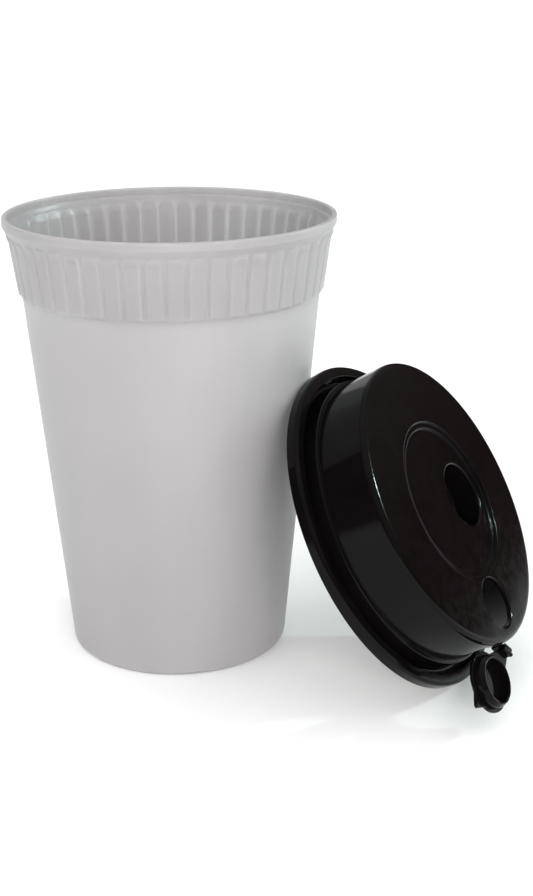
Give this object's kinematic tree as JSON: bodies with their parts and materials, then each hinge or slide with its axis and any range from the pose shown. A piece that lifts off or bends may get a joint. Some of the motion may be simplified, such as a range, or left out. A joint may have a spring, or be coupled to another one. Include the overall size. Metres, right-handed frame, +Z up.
{
  "type": "drinking cup with press-on lid",
  "caption": "Tall tapered translucent drinking cup with a fluted grip band, and a glossy black domed lid with a straw well, a sip hole and a tethered plug.",
  "frame": {"origin": "centre of the cup's base, on the cup's axis, in the plane it stands on", "axes": "+Z up along the cup's axis, +X to the side where the lid leans, +Y to the back"},
  "size_m": [0.1455, 0.1114, 0.1236],
  "materials": {
    "cup": "natural translucent polypropylene, satin",
    "lid": "glossy black moulded plastic",
    "plug": "glossy black moulded plastic"
  },
  "bodies": {
    "cup": {"cup_body": "cup"},
    "lid": {"lid_shell": "lid", "plug_tether": "lid"},
    "plug": {"sip_plug": "plug"}
  },
  "joints": [
    {"name": "lid_lift", "type": "slide", "parent": "cup", "child": "lid", "axis": [0.6099, -0.2029, 0.766], "range_m": [0, 0.11]},
    {"name": "plug_hinge", "type": "hinge", "parent": "lid", "child": "plug", "pos_m": [0.08935, -0.04528, 0.01456], "axis": [-0.6216, -0.328, 0.7114], "range_deg": [0, 185]}
  ]
}
